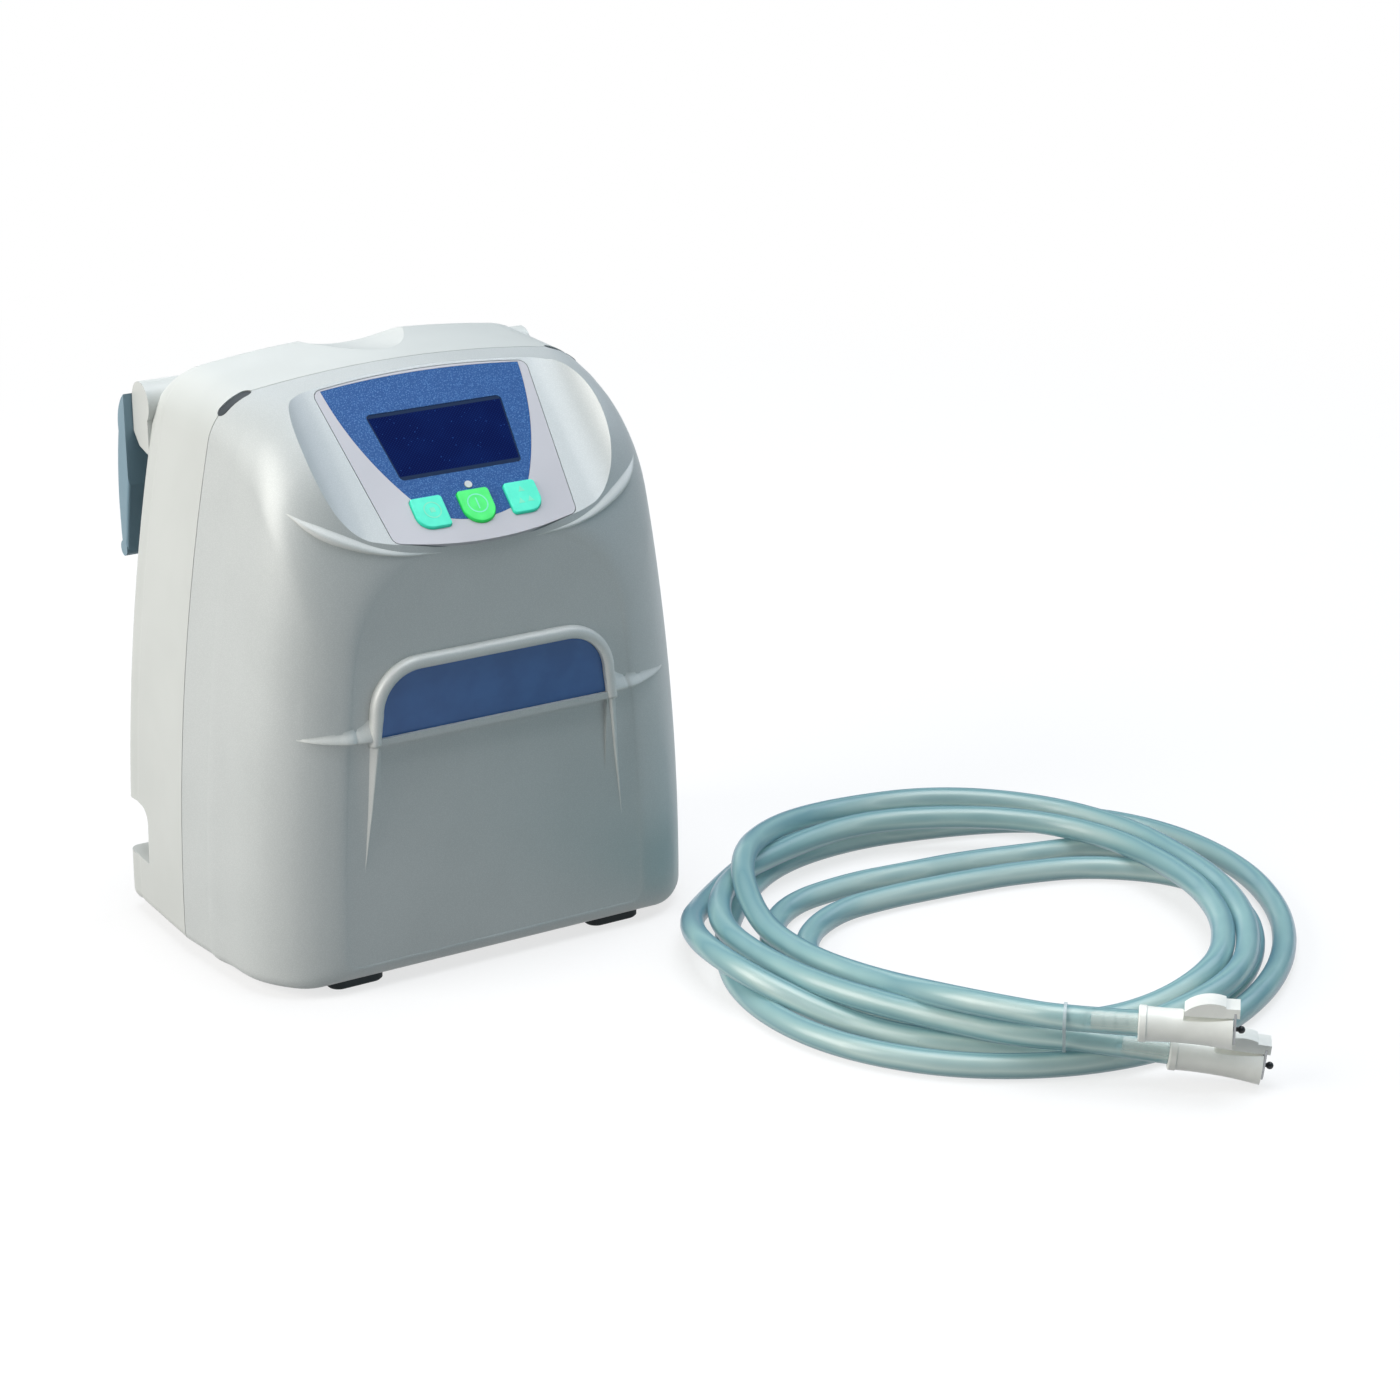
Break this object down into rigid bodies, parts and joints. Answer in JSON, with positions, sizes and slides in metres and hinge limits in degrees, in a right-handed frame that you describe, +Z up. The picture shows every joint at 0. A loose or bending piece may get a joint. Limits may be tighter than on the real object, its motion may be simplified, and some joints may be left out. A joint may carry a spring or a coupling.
{
  "type": "compression therapy pump",
  "caption": "Portable air compression therapy pump with a sloping control panel, a fold-out bed hook, hidden air ports and a loosely coiled pair of air hoses with latching couplings.",
  "frame": {"origin": "centre of the pump housing with its hook, on the floor plane under the feet", "axes": "+X to the right seen from the front, the control panel faces -Y, the bed hook is on +Y, +Z up"},
  "size_m": [0.4077, 0.3941, 0.2273],
  "materials": {
    "housing_rear": "satin pearl off-white moulded plastic",
    "housing_front": "satin pearl light grey paint on moulded plastic",
    "panel_white": "satin light grey-white",
    "overlay_blue": "metallic-flecked blue printed film",
    "window_dark": "dark blue display window",
    "module": "black",
    "board_green": "green laminate with components",
    "key_teal": "teal silicone, translucent",
    "key_green": "green silicone, translucent",
    "lens": "clear lamp lens",
    "badge_blue": "satin dark blue, bare",
    "plug_grey": "dark grey-green soft plug",
    "foot_grey": "dark grey rubber",
    "hook_blue": "satin grey-blue moulded plastic",
    "steel": "zinc plated steel",
    "port_white": "natural white acetal",
    "inlet_black": "black",
    "brass_pins": "plated contact pins",
    "battery_wrap": "blue shrink wrap, bare",
    "motor_can": "plated motor can",
    "bracket": "grey sheet bracket",
    "wheel_metal": "turned flywheel",
    "pump_head": "die-cast pump head",
    "manifold": "black manifold block",
    "air_line": "clear silicone line",
    "hose": "translucent blue-green hose",
    "coupling_white": "natural white acetal",
    "latch_metal": "stainless latch plate",
    "valve_dark": "dark shut-off pin",
    "tie": "clear band"
  },
  "bodies": {
    "pump": {"front_shell": "housing_front", "rear_shell": "housing_rear", "control_bezel": "panel_white", "panel_overlay": "overlay_blue", "display_window": "window_dark", "display_module": "module", "keypad_board": "board_green", "status_lens": "lens", "badge_plate": "badge_blue", "seam_plug_left": "plug_grey", "seam_plug_right": "plug_grey", "foot_front_left": "foot_grey", "foot_front_right": "foot_grey", "foot_rear_left": "foot_grey", "foot_rear_right": "foot_grey", "hook_pin_left": "steel", "hook_pin_right": "steel", "housing_screws": "steel", "outlet_port_left": "port_white", "outlet_port_right": "port_white", "mains_inlet": "inlet_black", "inlet_pins": "brass_pins", "main_board": "board_green", "board_screws": "steel", "buzzer": "module", "battery_pack": "battery_wrap", "power_supply": "board_green", "compressor_bracket": "bracket", "compressor_motor": "motor_can", "compressor_head": "pump_head", "valve_manifold": "manifold", "air_line_left": "air_line", "air_line_right": "air_line", "air_line_feed": "air_line", "hose_coil": "hose", "hose_end_upper": "hose", "hose_end_lower": "hose", "coupling_upper": "coupling_white", "coupling_lower": "coupling_white", "valve_pin_upper": "valve_dark", "valve_pin_lower": "valve_dark", "hose_tip_left": "coupling_white", "hose_tip_right": "coupling_white", "hose_tie": "tie"},
    "key_left_body": {"key_left": "key_teal"},
    "key_centre_body": {"key_centre": "key_green"},
    "key_right_body": {"key_right": "key_teal"},
    "bed_hook_body": {"bed_hook": "hook_blue"},
    "latch_upper_body": {"latch_upper": "coupling_white", "latch_plate_upper": "latch_metal"},
    "latch_lower_body": {"latch_lower": "coupling_white", "latch_plate_lower": "latch_metal"},
    "compressor_wheel_body": {"compressor_wheel": "wheel_metal"}
  },
  "joints": [
    {"name": "key_left_press", "type": "slide", "parent": "pump", "child": "key_left_body", "axis": [0, 0.6659, -0.7461], "range_m": [0, 0.001], "stiffness_N_per_m": 600},
    {"name": "key_centre_press", "type": "slide", "parent": "pump", "child": "key_centre_body", "axis": [0, 0.6659, -0.7461], "range_m": [0, 0.001], "stiffness_N_per_m": 600},
    {"name": "key_right_press", "type": "slide", "parent": "pump", "child": "key_right_body", "axis": [0, 0.6659, -0.7461], "range_m": [0, 0.001], "stiffness_N_per_m": 600},
    {"name": "hook_fold", "type": "hinge", "parent": "pump", "child": "bed_hook_body", "pos_m": [0, 0.05515, 0.2075], "axis": [1, 0, 0], "range_deg": [0, 85]},
    {"name": "latch_upper_press", "type": "slide", "parent": "pump", "child": "latch_upper_body", "axis": [0, 0, -1], "range_m": [0, 0.0016], "stiffness_N_per_m": 400},
    {"name": "latch_lower_press", "type": "slide", "parent": "pump", "child": "latch_lower_body", "axis": [-0.075, 0.0597, -0.9954], "range_m": [0, 0.0016], "stiffness_N_per_m": 400},
    {"name": "compressor_spin", "type": "hinge", "parent": "pump", "child": "compressor_wheel_body", "pos_m": [0, 0.02315, 0.146], "axis": [1, 0, 0], "continuous": true}
  ]
}
